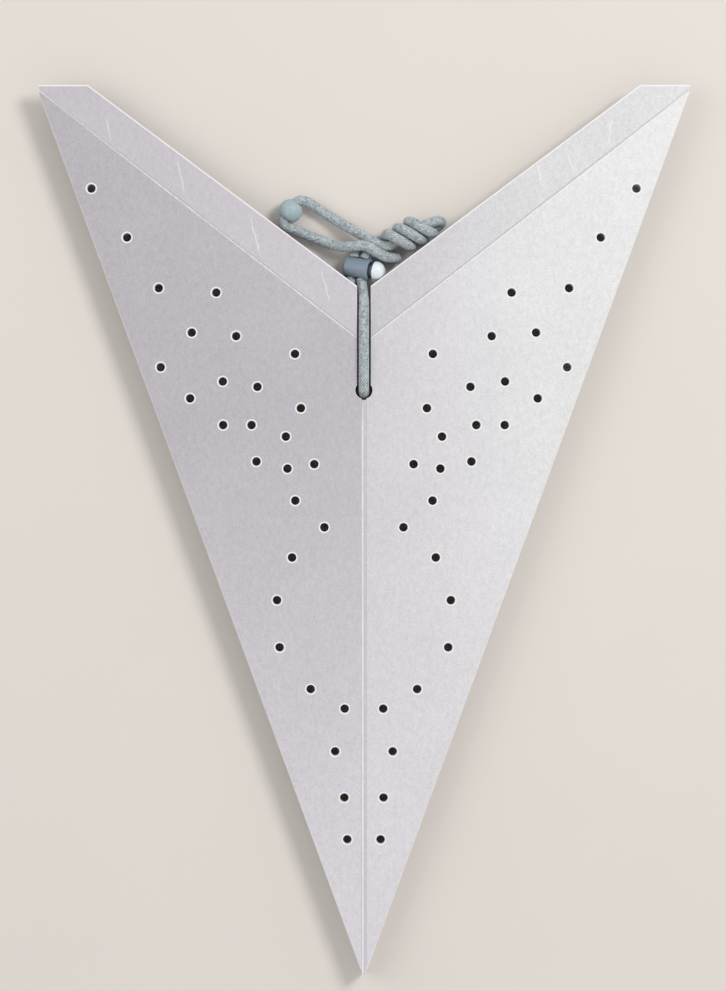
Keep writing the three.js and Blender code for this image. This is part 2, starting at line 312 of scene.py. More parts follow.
# How much paler than its side a flap is, as painted light and shade, and how the left side fades
# with each millimetre into painted shade
SCORE_BLEND = 0.1
LEFT_FLAP_PAINTED_LIGHT = 0.15
RIGHT_FLAP_PAINTED_SHADE = -0.09
LEFT_PAINTED_SHADE_SLOPE = 0.0008

# Worn lines, and dented lines that also carry painted shade: the middle, the half width and the
# soft edge, across the fold or the crease
FOLD_WEAR = (-0.46, 0.14, 0.2)
FOLD_DENT_AND_PAINTED_SHADE = (0.22, 0.08, 0.25)
FOLD_WEAR_START = (102, 112)
SCORE_WEAR = (-0.32, 0.06, 0.2)
SCORE_WEAR_END = (105, 70)
SCORE_DENT_AND_PAINTED_SHADE = (0.1, 0.1, 0.2)
MARK_WIDTH = (0.04, 0.28)
MARK_WANDER = 1.6
MARK_FADE = 1  # at each end
MARK_SHARE = 0.5

# How far in the bare paper shows along the flaps' inner and top edges, where it ends softly
BARE_INNER = (0.4, 0.6)
BARE_TOP = (0.35, 0.55)
BARE_SHARE = 0.9

# Short cracks in the flaps' face: where each starts and ends, across and from the apex line
CREASED_MARKS = (
    ((-86, -10.5), (-84.8, -17)), ((-62.3, -24), (-60.3, -34)), ((-37.9, -43), (-35.2, -54.5)),
    ((-14.4, -61), (-11.4, -71)), ((57.3, -23.5), (60, -32.6)), ((68.3, -22), (70.3, -27)),
    ((76.4, -26.5), (71.7, -30.3)), ((83, -10.5), (82, -18)),
)


def paper_tone(paper, across, along):
    """The paper's colour: greyer left of the fold as painted shade, paler towards the right edge
    and the tip as painted light.
    """
    right = across.between(-FOLD_BLEND, FOLD_BLEND)
    tip = (0 - along).between(*TIP_FADE)
    tone = paper.mix(right, LEFT_PAINTED_SHADE_TONE, RIGHT_PAINTED_LIGHT_TONE)
    tone = paper.mix(across.between(0, RIGHT_FADE), tone, RIGHT_EDGE_PAINTED_LIGHT_TONE)
    return paper.mix(tip * TIP_SHARE, tone, TIP_PAINTED_LIGHT_TONE)


def painted_light_and_shade(across, beyond):
    """How much paler the flaps and the left side's fold are than the rest, as painted light and
    shade; the right flap's share is negative, a painted shade.
    """
    right = across.between(-FOLD_BLEND, FOLD_BLEND)
    flap = beyond.between(-SCORE_BLEND, SCORE_BLEND)
    flap_painted_light = flap * (LEFT_FLAP_PAINTED_LIGHT + right * (RIGHT_FLAP_PAINTED_SHADE - LEFT_FLAP_PAINTED_LIGHT))
    return flap_painted_light + across * LEFT_PAINTED_SHADE_SLOPE * (1 - right)


def bare_flap_edges(across, along):
    """The white body of the paper along the flaps' cut edges."""
    near, far = BARE_INNER
    inner = (along - abs(across) * NOTCH_SLOPE + NOTCH_FOOT).between(-far, -near)
    near, far = BARE_TOP
    top = along.between(FLAP_RISE - far, FLAP_RISE - near)
    return inner.larger(top) * BARE_SHARE


def creased_marks(paper, across, along):
    """Short cracks that wander a little and fade at both ends."""
    wander = (paper.noise(3, 2) - 0.5) * MARK_WANDER
    marks = 0
    for (across_start, start), (across_end, end) in CREASED_MARKS:
        lean = (across_end - across_start) / (end - start)
        mark = (across + wander - (along - start) * lean).line(across_start, *MARK_WIDTH)
        mark *= along.between(end - MARK_FADE, end + MARK_FADE)
        mark *= along.between(start + MARK_FADE, start - MARK_FADE)
        marks += mark * MARK_SHARE
    return marks


def paper_finish():
    """Pearly grey paper, with the scored lines at the middle fold and the crease worn white, and
    painted light and shade on its halves, flaps and scored grooves.
    """
    paper = Finish.named("pearl_paper", {"Metallic": 0.18, "Specular IOR Level": 0.35})
    across, height, _ = paper.place()
    along = height - APEX_Y
    reach = abs(across)
    beyond = (along + VALLEY_REACH - reach * CREASE_DROP) * CREASE_ACROSS
    grain = paper.noise(0.6, 3)
    fibre = paper.noise(1.4, 2, (1, 0.6, 1))
    cloud = paper.noise(26)
    mottle = (grain - 0.5) * 0.34 + (fibre - 0.5) * 0.2 + (cloud - 0.5) * 0.1
    tone = paper_tone(paper, across, along)
    # Painted light and shade on the flaps and the left side, with the paper's own mottle
    tone = paper.shade(tone, 0.99 + painted_light_and_shade(across, beyond) + mottle)
    crack = paper.noise(0.9, 4, (1, 0.3, 1)).between(0.42, 0.56)
    fold = across.line(*FOLD_WEAR) * (0.66 + crack * 0.3) * (0 - along).between(*FOLD_WEAR_START)
    score = beyond.line(*SCORE_WEAR) * (0.35 + crack * 0.4) * reach.between(*SCORE_WEAR_END)
    # The grooves beside the scored lines: dents for the bump, and painted shade in the colour
    groove_and_painted_shade = beyond.line(*SCORE_DENT_AND_PAINTED_SHADE) * 0.6 + across.line(*FOLD_DENT_AND_PAINTED_SHADE) * 0.4
    worn = fold.larger(score).larger(bare_flap_edges(across, along))
    worn += creased_marks(paper, across, along)
    tone = paper.mix(groove_and_painted_shade, tone, SCORE_PAINTED_SHADE)
    tone = paper.mix(worn, tone, BARE_PAPER)
    rough = 0.44 + (grain - 0.5) * 0.3 + worn * 0.3
    paper.set({"Base Color": tone, "Roughness": rough})
    paper.bump(grain * 0.6 + fibre * 0.4 - groove_and_painted_shade * 1.5 + score * 0.8, 0.05)
    return paper.material


def cut_finish():
    """The paper's white body, where it is cut, punched or bent over an edge."""
    cut = Finish.named("cut_paper", {"Metallic": 0, "Specular IOR Level": 0.3})
    fibre = cut.noise(0.3, 3)
    tone = cut.shade(BARE_PAPER, 0.92 + fibre * 0.14)
    cut.set({"Base Color": tone, "Roughness": 0.7 + fibre * 0.2})
    cut.bump(fibre, 0.04)
    return cut.material


THREADS = 4  # in one plait


def braid_finish():
    """Braided yarn: dark and pale flecks, with the threads running along each plait, and painted
    shade where the plaits meet.
    """
    fixed = {"Sheen Weight": 0.25, "Sheen Roughness": 0.5, "Specular IOR Level": 0.2}
    braid = Finish.named("braided_yarn", fixed)
    around, along = braid.surface()
    first = around + along
    second = around - along
    turn = (first.floor() + second.floor()) * 0.5
    over = turn.fraction().between(0.2, 0.3)
    across = first * over + second * (1 - over)
    thread = (across * (2 * math.pi * THREADS)).sine() * 0.5 + 0.5
    fleck = braid.speckle(first.floor(), second.floor())
    middle = (first.fraction() * math.pi).sine() * (second.fraction() * math.pi).sine()
    tone = braid.mix(fleck.between(0.5, 0.95) * 0.5, CORD_TONE, CORD_FLECK)
    tone = braid.mix((1 - fleck).between(0.8, 0.95) * 0.6, tone, CORD_DARK_FLECK_AND_PAINTED_SHADE)
    # Painted shade towards each plait's edges, where the plaits meet
    tone = braid.mix((1 - middle).between(0.55, 1) * 0.75, tone, CORD_DARK_FLECK_AND_PAINTED_SHADE)
    fuzz = braid.noise(0.25, 3)
    tone = braid.shade(tone, 0.86 + thread * 0.2 + fuzz * 0.16)
    braid.set({"Base Color": tone, "Roughness": 0.82 + fuzz * 0.12})
    braid.bump(thread * 0.5 + fuzz * 0.5, 0.06)
    return braid.material


def bead_finish():
    """Matt paint on wood: even, a little rubbed, with the grain just showing through."""
    paint = Finish.named("bead_paint", {"Coat Roughness": 0.45, "Specular IOR Level": 0.4})
    rubbed = paint.noise(1.5, 3)
    grain = paint.noise(0.5, 3, (1, 0.25, 1))
    tone = paint.mix(rubbed.between(0.5, 0.7) * 0.6, BEAD_TONE, BEAD_WORN)
    paint.set(
        {
            "Base Color": paint.shade(tone, 0.94 + grain * 0.12),
            "Roughness": 0.5 + rubbed * 0.15,
            "Coat Weight": 0.12,
        }
    )
    paint.bump(grain * 0.7 + rubbed * 0.3, 0.05)
    return paint.material


def moulded_finish(name, tone, roughness, coat):
    """Moulded plastic, with faint clouding and the fine texture of its mould."""
    fixed = {"Coat Weight": coat, "Coat Roughness": 0.08, "Specular IOR Level": 0.5}
    plastic = Finish.named(name, fixed)
    cloud = plastic.noise(2.4, 3)
    mould = plastic.noise(0.25, 2)
    plastic.set(
        {
            "Base Color": plastic.shade(tone, 0.93 + cloud * 0.14),
            "Roughness": roughness + cloud * 0.08,
        }
    )
    plastic.bump(mould * 0.6 + cloud * 0.4, 0.015)
    return plastic.material


def steel_finish():
    """Spring wire, drawn and bright."""
    steel = Finish.named("spring_wire", {"Metallic": 1})
    drawn = steel.noise(0.3, 3, (0.2, 1, 1))
    tone = steel.shade(STEEL_TONE, 0.9 + drawn * 0.2)
    steel.set({"Base Color": tone, "Roughness": 0.26 + drawn * 0.2})
    steel.bump(drawn, 0.01)
    return steel.material


PAPER_LOOK = [paper_finish(), cut_finish()]
BRAID_LOOK = [braid_finish()]
BEAD_LOOK = [bead_finish()]
BARREL_LOOK = [moulded_finish("barrel_plastic", BARREL_TONE, 0.36, 0.1)]
# The button's stem takes the barrel's plastic, as painted shade in the gap behind the button
BUTTON_LOOK = [moulded_finish("button_plastic", BUTTON_TONE, 0.16, 0.5), BARREL_LOOK[0]]
STEEL_LOOK = [steel_finish()]
BARE = 1  # the place of the cut paper in the paper's look


def put(name, bm, look):
    """Puts a shape that is modelled in millimetres in the scene."""
    bmesh.ops.scale(bm, vec=(MM, MM, MM), verts=bm.verts[:])
    mesh = bpy.data.meshes.new(name)
    bm.to_mesh(mesh)
    bm.free()
    for material in look:
        mesh.materials.append(material)
    made = bpy.data.objects.new(name, mesh)
    bpy.context.scene.collection.objects.link(made)
    return made


def piece(name, bm, look, body, slot, *replaced):
    """A piece of the lantern, on the body that it moves with."""
    made = put(name, bm, look)
    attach(made, body)
    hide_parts(*replaced)
    return made


def lock_matrix():
    """Where the lock lies: its middle, its turn on the floor and the tilt of its button."""
    across, along, up = LOCK_PLACE
    leaning = Matrix.Rotation(LOCK_TURN, 4, "Z") @ Matrix.Rotation(-LOCK_TILT, 4, "Y")
    return Matrix.Translation((across, along + APEX_Y, up)) @ leaning


def lock_end(strand, side):
    """Where the left or right strand ends in the lock, below it or above."""
    spot = lock_matrix() @ Vector((strand * STRAND_APART, side * STRAND_DEPTH, 0))
    return (spot.x, spot.y - APEX_Y, spot.z)


# Cord routes: across, from the apex line, and up
TIE_ROUTE = [
    lock_end(1, -1), (-0.7, -64.8, 6.1), (-0.5, -66.4, 6.8), (-0.2, -68.6, 7.8), (0, -71, 8.6),
    (0, -74, 9.4), (0, -79, 10.1), (0, -84, 10.4), (0, -91, 10.4), (0, -97, 10.3), (0, -100.6, 9),
    (0, -101.9, 6.4), (0, -100.6, 3.9), (0, -97, 2.6), (0, -91, 2.5), (0, -82, 2.5),
    (0, -75, 2.5), (-0.5, -71.5, 2.6), (-2.3, -69, 3), (-4, -66.6, 3.9), (-4.3, -64.8, 4.6),
    lock_end(-1, -1),
]
# The loop winds round itself, turns back through the winding and goes out to the bead
WRAP_FROM = Vector((10.4, -51.3, 5.5))
WRAP_TO = Vector((20.5, -45.4, 5.5))
WRAP_RADIUS = 3.8
WRAP_LEAN = 0.4  # how far the turns lean over, for each length across
WRAP_STEPS = 33
WRAP_ANGLES = (0.25 * math.pi, 5.75 * math.pi)
CORE_STEPS = 3
LOOP_OUT = [
    lock_end(-1, 1), (-3, -55, 4.3), (-2.4, -53.9, 3), (-0.6, -53, 1.85), (2, -51.7, 1.7),
    (5, -50.7, 1.7), (7, -49.6, 1.75),
]
LOOP_TURN = [
    (23, -46, 1.75), (25, -45.5, 2.1), (26, -44.7, 3), (26, -44.2, 4.2), (25, -43.9, 5.2),
    (23.4, -44.3, 5.5),
]
LOOP_BEAD = [
    (8.2, -52.4, 5.5), (5.4, -52.1, 5.4), (2.2, -50.4, 5.3), (-3.4, -47.2, 4.6),
    (-10.3, -43, 2.6), (-14.6, -40.2, 2.3), (-18, -38, 3), (-20.4, -37.1, 3.8),
    (-22.4, -37.4, 4.15), BEAD_PLACE, (-26.7, -43.4, 4.15), (-26.9, -45, 4.1),
    (-25.8, -45.9, 3.8), (-23.9, -46.6, 3.4), (-21.4, -47.6, 3), (-17, -49.4, 2.6),
    (-12.3, -51.3, 3.2), (-8, -52.6, 5.2), (-4.4, -52.7, 7.1), (0.4, -52.5, 8.2),
    (4.2, -54.5, 8.2), (7.8, -56.2, 6.6), (9.9, -56.5, 5.5), (10.9, -56.5, 4.3), (10.7, -56.5, 3),
    (9.3, -56.5, 2.1), (7.2, -56.3, 1.7), (5.4, -56.2, 1.8), (3.8, -55.7, 2.6), (2.3, -55.2, 4.1),
    (0.8, -55.7, 5.6), lock_end(1, 1),
]


def loop_route():
    """The hanging loop's whole route, from the lock and back to it."""
    along = (WRAP_TO - WRAP_FROM).normalized()
    up = Vector((0, 0, 1))
    sideways = up.cross(along)
    wraps = []
    for step in range(WRAP_STEPS + 1):
        share = step / WRAP_STEPS
        angle = WRAP_ANGLES[0] + (WRAP_ANGLES[1] - WRAP_ANGLES[0]) * share
        spot = WRAP_FROM.lerp(WRAP_TO, share)
        spot += (sideways - along * WRAP_LEAN) * WRAP_RADIUS * math.sin(angle)
        wraps.append(spot - up * WRAP_RADIUS * math.cos(angle))
    core = [WRAP_TO.lerp(WRAP_FROM, step / CORE_STEPS) for step in range(CORE_STEPS + 1)]
    return LOOP_OUT + wraps + LOOP_TURN + core + LOOP_BEAD


def pace(before, spot, after, gap_before, gap_after):
    """How fast and which way a smooth line passes a spot, for spots that lie unevenly."""
    whole = (after - before) / (gap_before + gap_after)
    return (spot - before) / gap_before - whole + (after - spot) / gap_after


def smooth_route(route, fine=24):
    """A smooth line through the route's points, with each stretch in fine steps."""
    spots = [Vector((across, along + APEX_Y, up)) for across, along, up in route]
    spots = [spots[0] * 2 - spots[1], *spots, spots[-1] * 2 - spots[-2]]
    line = []
    for before, first, second, after in zip(spots, spots[1:], spots[2:], spots[3:]):
        pairs = ((before, first), (first, second), (second, after))
        gap_before, gap, gap_after = [math.sqrt((b - a).length) for a, b in pairs]
        leave = pace(before, first, second, gap_before, gap) * gap
        reach = pace(first, second, after, gap, gap_after) * gap
        for step in range(fine):
            t = step / fine
            line.append(
                first
                + leave * t
                + (second * 3 - first * 3 - leave * 2 - reach) * t * t
                + (first * 2 - second * 2 + leave + reach) * t * t * t
            )
    line.append(spots[-2])
    return line


def even_spots(line, spacing):
    """Spots along a line at even distances."""
    lengths = [(b - a).length for a, b in zip(line, line[1:])]
    count = round(sum(lengths) / spacing)
    step = sum(lengths) / count
    spots = [line[0]]
    walked = 0
    for index, length in enumerate(lengths):
        while len(spots) < count and step * len(spots) <= walked + length:
            share = (step * len(spots) - walked) / length
            spots.append(line[index].lerp(line[index + 1], share))
        walked += length
    return [*spots, line[-1]]


PLAITS = 12  # plaits that cross a ring round the cord
PLAIT_LENGTH = 1.1
PLAIT_DEPTH = 0.16
CORD_SIDES = 72
CORD_STEP = 0.25
SEAM = 0.001  # the sheet's two long edges fall together when it is rolled


def plait_height(around, along):
    """How high a plait stands, from 0 in the gaps to 1 on its back."""
    first = around + along
    second = around - along
    return math.sqrt(abs(math.sin(math.pi * first) * math.sin(math.pi * second)))


def untwisted_frames(spots):
    """Two directions square to the line at each spot, which don't turn round it."""
    last = len(spots) - 1
    tangents = []
    for index in range(last + 1):
        tangents.append((spots[min(index + 1, last)] - spots[max(index - 1, 0)]).normalized())
    across = tangents[0].orthogonal().normalized()
    frames = []
    for tangent in tangents:
        across = (across - tangent * across.dot(tangent)).normalized()
        frames.append((across, tangent.cross(across)))
    return frames


def braided_cord(name, route, node):
    """A braided cord: a sheet of plaits, rolled round the route and closed along its seam."""
    spots = even_spots(smooth_route(route), CORD_STEP)
    steps = len(spots) - 1
    bm = bmesh.new()
    unwrapped = bm.loops.layers.uv.new("surface")
    bmesh.ops.create_grid(bm, x_segments=CORD_SIDES, y_segments=steps, size=0.5, calc_uvs=True)
    plait_rows = steps * CORD_STEP / PLAIT_LENGTH
    frames = untwisted_frames(spots)
    for vert in bm.verts:
        ring = round((vert.co.y + 0.5) * steps)
        share = vert.co.x + 0.5
        angle = 2 * math.pi * share
        relief = plait_height(share * PLAITS, ring / steps * plait_rows)
        radius = CORD_RADIUS - PLAIT_DEPTH * (1 - relief)
        first, second = frames[ring]
        vert.co = spots[ring] + (first * math.cos(angle) + second * math.sin(angle)) * radius
    for face in bm.faces:
        face.smooth = True
        for loop in face.loops:
            uv = loop[unwrapped].uv
            loop[unwrapped].uv = (uv.x * PLAITS, uv.y * plait_rows)
    bmesh.ops.remove_doubles(bm, verts=bm.verts[:], dist=SEAM)
    ends = [edge for edge in bm.edges if edge.is_boundary]
    bmesh.ops.edgeloop_fill(bm, edges=ends)
    bmesh.ops.recalc_face_normals(bm, faces=bm.faces[:])
    made = piece(name, bm, BRAID_LOOK, "leaf_14", "cord", node)
    spots[0] * MM
    [spot * MM for spot in spots]
    return made


TURNED_SIDES = 64
WELD = 0.0005  # vertices on the axis fall together


def turned(profile, matrix):
    """A body turned about X from a profile of places along X and radii."""
    bm = bmesh.new()
    verts = [bm.verts.new((along, 0, radius)) for along, radius in profile]
    edges = [bm.edges.new(pair) for pair in zip(verts, verts[1:] + verts[:1])]
    bmesh.ops.spin(
        bm, geom=verts + edges, cent=(0, 0, 0), axis=(1, 0, 0), dvec=(0, 0, 0),
        angle=2 * math.pi, steps=TURNED_SIDES, use_merge=True, use_duplicate=False,
    )
    bmesh.ops.remove_doubles(bm, verts=bm.verts[:], dist=WELD)
    bmesh.ops.dissolve_degenerate(bm, dist=WELD, edges=bm.edges[:])
    bmesh.ops.recalc_face_normals(bm, faces=bm.faces[:])
    for face in bm.faces:
        face.smooth = True
    bmesh.ops.transform(bm, matrix=matrix, verts=bm.verts[:])
    return bm


def arc(middle, radius, start, end, steps):
    """Places on an arc of a profile, from a start angle to an end angle in degrees."""
    places = []
    for step in range(steps + 1):
        angle = math.radians(start + (end - start) * step / steps)
        places.append((middle[0] + radius * math.cos(angle), middle[1] + radius * math.sin(angle)))
    return places


BEAD_LIP = 0.35


def bead_piece():
    """The bead, with a softened lip at both ends of its bore."""
    bore_angle = math.degrees(math.asin((BEAD_BORE + BEAD_LIP) / BEAD_RADIUS))
    end = BEAD_RADIUS * math.cos(math.radians(bore_angle))
    shoulder = (end - BEAD_LIP * 0.15, BEAD_BORE + BEAD_LIP * 0.3)
    profile = arc((0, 0), BEAD_RADIUS, 180 - bore_angle, bore_angle, 26)
    profile += [shoulder, (end - BEAD_LIP, BEAD_BORE)]
    profile += [(-end + BEAD_LIP, BEAD_BORE), (-shoulder[0], shoulder[1])]
    across, along, up = BEAD_PLACE
    bore_turn = Matrix.Rotation(BEAD_TURN + math.pi / 2, 4, "Z")
    bead_place = Matrix.Translation((across, along + APEX_Y, up))
    bm = turned(profile, bead_place @ bore_turn)
    return piece("painted_bead", bm, BEAD_LOOK, "leaf_14", "bead", "cord_bead")


def cut_passage(made):
    """Cuts the cord's way through a lock piece, with rounded corners."""
    bm = bmesh.new()
    size = Matrix.Diagonal((PASS_WIDTH, PASS_REACH, PASS_HEIGHT, 1))
    bmesh.ops.create_cube(bm, size=1, matrix=size)
    through = [edge for edge in bm.edges if abs(edge.verts[0].co.y - edge.verts[1].co.y) > NEAR]
    bmesh.ops.bevel(
        bm, geom=through, offset=PASS_CORNER, segments=5, profile=0.5, affect="EDGES", material=-1,
    )
    bmesh.ops.transform(bm, matrix=lock_matrix(), verts=bm.verts[:])
    cutter = put("passage", bm, [])
    cutting = made.modifiers.new("passage", "BOOLEAN")
    cutting.operation = "DIFFERENCE"
    cutting.solver = "EXACT"
    cutting.object = cutter
    bpy.context.view_layer.update()
    shown = made.evaluated_get(bpy.context.evaluated_depsgraph_get())
    finished = bpy.data.meshes.new_from_object(shown)
    made.modifiers.clear()
    made.data = finished
    bpy.data.objects.remove(cutter)


# The lock's pieces, with places along its axis from the barrel's middle
BARREL_RADIUS = 3.8
BARREL_END = 4.5
BARREL_ROUND = 1.3  # at the closed end
BARREL_GRIP = 1.5  # half the plain stretch in its middle
BARREL_LIP = 0.45
BARREL_BORE = 2.6
BORE_LIP = 0.25
BARREL_FLOOR = -3.6
STEM_RADIUS = 2.3
STEM_START = -0.9
BUTTON_RADIUS = 3.2
BUTTON_START = 6.0
BUTTON_RIM = 0.5
BUTTON_EDGE = 0.2
BUTTON_SEAM = 0.05
# The stem wears the barrel's dark plastic as painted shade in the gap between barrel and button
PAINTED_SHADE_STEM = 1  # the place of the stem's plastic in the button's look


def barrel_piece():
    """The barrel, closed and rounded at one end and bored from the other."""
    closed = (-BARREL_END + BARREL_ROUND, BARREL_RADIUS - BARREL_ROUND)
    open_end = (BARREL_END - BARREL_LIP, BARREL_RADIUS - BARREL_LIP)
    bore = (BARREL_END - BORE_LIP, BARREL_BORE + BORE_LIP)
    profile = [(-BARREL_END, 0)]
    profile += arc(closed, BARREL_ROUND, 180, 90, 8)
    profile += [(-BARREL_GRIP, BARREL_RADIUS), (BARREL_GRIP, BARREL_RADIUS)]
    profile += arc(open_end, BARREL_LIP, 90, 0, 5)
    profile += arc(bore, BORE_LIP, 0, -90, 4)
    profile += [(BARREL_FLOOR, BARREL_BORE), (BARREL_FLOOR, 0)]
    bm = turned(profile, lock_matrix())
    cut_passage(piece("lock_body", bm, BARREL_LOOK, "leaf_14", "barrel", "lock_barrel"))


def button_piece():
    """The pale button, and its stem in the barrel's colour as painted shade in the gap behind the
    button.
    """
    edge = (BUTTON_START + BUTTON_EDGE, BUTTON_RADIUS - BUTTON_EDGE)
    profile = [(STEM_START, 0), (STEM_START, STEM_RADIUS - BUTTON_EDGE)]
    profile += [(STEM_START + BUTTON_EDGE, STEM_RADIUS), (BUTTON_START, STEM_RADIUS)]
    profile += arc(edge, BUTTON_EDGE, 180, 90, 3)
    profile += arc((BUTTON_START + BUTTON_RIM, 0), BUTTON_RADIUS, 90, 0, 16)
    bm = turned(profile, lock_matrix())
    away = lock_matrix().inverted()
    for face in bm.faces:
        if (away @ face.calc_center_median()).x < BUTTON_START - BUTTON_SEAM:
            face.material_index = PAINTED_SHADE_STEM
    cut_passage(piece("lock_button", bm, BUTTON_LOOK, "lock_plunger", "button", "lock_plunger"))


SPRING_START = -3.3
SPRING_END = -1.15
SPRING_RADIUS = 1.8
SPRING_TURNS = 3
SPRING_STEPS = 28  # in a turn
WIRE_RADIUS = 0.22
WIRE_SIDES = 10


def spring_piece():
    """The coil that pushes the button out, built at rest; the real coil closes up when the button
    is pressed.
    """
    bm = bmesh.new()
    upright = Matrix.Rotation(math.pi / 2, 4, "X")
    ring = bmesh.ops.create_circle(
        bm, segments=WIRE_SIDES, radius=WIRE_RADIUS,
        matrix=Matrix.Translation((SPRING_START, 0, SPRING_RADIUS)) @ upright,
    )
    steps = SPRING_TURNS * SPRING_STEPS
    run = SPRING_END - SPRING_START
    bmesh.ops.spin(
        bm, geom=ring["verts"] + bm.edges[:], cent=(0, 0, 0), axis=(1, 0, 0),
        dvec=(run / steps, 0, 0), angle=2 * math.pi * SPRING_TURNS, steps=steps,
        use_merge=False, use_duplicate=False,
    )
    bmesh.ops.holes_fill(bm, edges=[edge for edge in bm.edges if edge.is_boundary])
    bmesh.ops.recalc_face_normals(bm, faces=bm.faces[:])
    for face in bm.faces:
        face.smooth = len(face.verts) == 4
    lock = lock_matrix()
    bmesh.ops.transform(bm, matrix=lock, verts=bm.verts[:])
    made = piece("coil_spring", bm, STEEL_LOOK, "leaf_14", "steel", "lock_spring")
    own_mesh(made)


bead = bead_piece()
barrel_piece()
button_piece()
spring_piece()
braided_cord("closing_cord", TIE_ROUTE, "tie_cord")
braided_cord("loop_cord", loop_route(), "hanging_cord")


def is_end(number):
    return number in (1, LEAF_COUNT)


# Leaf outlines: across from the middle fold, and along from the apex line
def crease_at(across, offset):
    """How far along a line beside the crease is, at a distance across."""
    return -VALLEY_REACH + across * CREASE_DROP + offset / CREASE_ACROSS


def beside_crease(length, offset):
    """The place a length down the crease from the apex corner, and an offset beside it."""
    across = APEX_REACH - length * CREASE_ACROSS - offset * CREASE_ALONG
    return (across, -length * CREASE_ALONG + offset * CREASE_ACROSS)


def side_corner(slope, offset, apex_cut=APEX_CUT):
    """The corner at the crease of a side whose long edge has a slope."""
    foot = crease_at(0, offset)
    meeting = slope * (TIP_REACH + foot) / (1 - slope * CREASE_DROP)
    along = crease_at(meeting, offset) - apex_cut
    return ((along - foot) / CREASE_DROP, along)


def edge_slope(number):
    """The slope of a leaf's long edge. One of two joined leaves is trimmed, so they don't cross."""
    trimmed = number == 2 or (number % 2 == 1 and not is_end(number))
    return TRIMMED_SLOPE if trimmed else APEX_REACH / TIP_REACH


STRIP_START = (APEX_REACH - side_corner(TRIMMED_SLOPE, 0)[0]) / CREASE_ACROSS + STRIP_INSET


def cord_hole_arc():
    """The cord hole's edge on one side, from the slot round to the fold strip."""
    start = math.acos(SLOT_HALF / CORD_HOLE_RADIUS)
    end = -math.acos((FOLD_HALF + SCORE_GAP * 2) / CORD_HOLE_RADIUS)
    middle = (0, -VALLEY_REACH - CORD_HOLE_DROP)
    ends = (math.degrees(start), math.degrees(end))
    return arc(middle, CORD_HOLE_RADIUS, *ends, CORD_HOLE_STEPS)


def edge_gap(across, along, slope):
    """How far in from a leaf's long edge a point lies."""
    return ((TIP_REACH + along) * slope - across) / math.hypot(1, slope)


def edge_bites(slope):
    """What the punch leaves of the holes that the long edge runs through, from the tip upwards."""
    radius = RIM_RINGS[-1][0]
    long_way = Vector((slope, 1)).normalized()
    inward = Vector((-1, slope)).normalized()
    points = []
    for across, along in sorted(PUNCH_PLACES, key=lambda place: place[1]):
        gap = edge_gap(across, along, slope)
        if not -radius < gap <= radius + RIM_ROOM:
            continue
        gap = min(gap, radius * BITE_DEEPEST)
        start = math.acos(gap / radius)
        for step in range(BITE_STEPS + 1):
            angle = start + (2 * math.pi - 2 * start) * step / BITE_STEPS
            way = -inward * math.cos(angle) - long_way * math.sin(angle)
            points.append(tuple(Vector((across, along)) + way * radius))
    return points


def side_outline(number):
    """One side of a leaf, from the tip up its long edge and back down the crease and the fold."""
    glued = number % 2 == 0 and not is_end(number)
    slope = edge_slope(number)
    score = SCORE_GAP if number == LEAF_COUNT else CLEARANCE / 2
    offset = 0 if glued else -score
    corner = side_corner(slope, offset, OUTER_APEX_CUT if is_end(number) else APEX_CUT)
    points = [
        (FOLD_HALF + SCORE_GAP * 2, -TIP_REACH + SIDE_TIP_CUT),
        (SIDE_TIP_CUT * slope, -TIP_REACH + SIDE_TIP_CUT),
    ]
    points += edge_bites(slope)
    points += [((TIP_REACH + corner[1]) * slope, corner[1]), corner]
    if glued:
        points.append(beside_crease(STRIP_START, 0))
        points.append(beside_crease(STRIP_START + STRIP_WIDTH, STRIP_WIDTH))
    points.append((SLOT_HALF, crease_at(SLOT_HALF, STRIP_WIDTH if glued else offset)))
    return points + cord_hole_arc()


def flap_outline(number):
    """An end leaf's flap, beside the crease."""
    if number == 1:
        offset = FIRST_FLAP_GAP
        corner = [
            beside_crease(FIRST_FLAP_START, offset),
            beside_crease(FIRST_FLAP_START + FIRST_FLAP_TAPER, FIRST_FLAP_WIDTH),
        ]
    else:
        offset = SCORE_GAP
        corner = [
            beside_crease(OUTER_FLAP_START, offset),
            (APEX_REACH - OUTER_FLAP_CORNER, FLAP_RISE),
            (APEX_REACH - FLAP_TOP, FLAP_RISE),
        ]
    return [*corner, (SLOT_HALF, NOTCH_ALONG), (SLOT_HALF, crease_at(SLOT_HALF, offset))]


def punch_places(number):
    """The punched holes that have paper all round them on this leaf."""
    room = RIM_RINGS[-1][0] + RIM_ROOM
    return [place for place in PUNCH_PLACES if edge_gap(*place, edge_slope(number)) > room]


def is_level(edge):
    """Whether an edge of an unbent sheet lies in one of its faces."""
    return abs(edge.verts[0].co.z - edge.verts[1].co.z) < NEAR


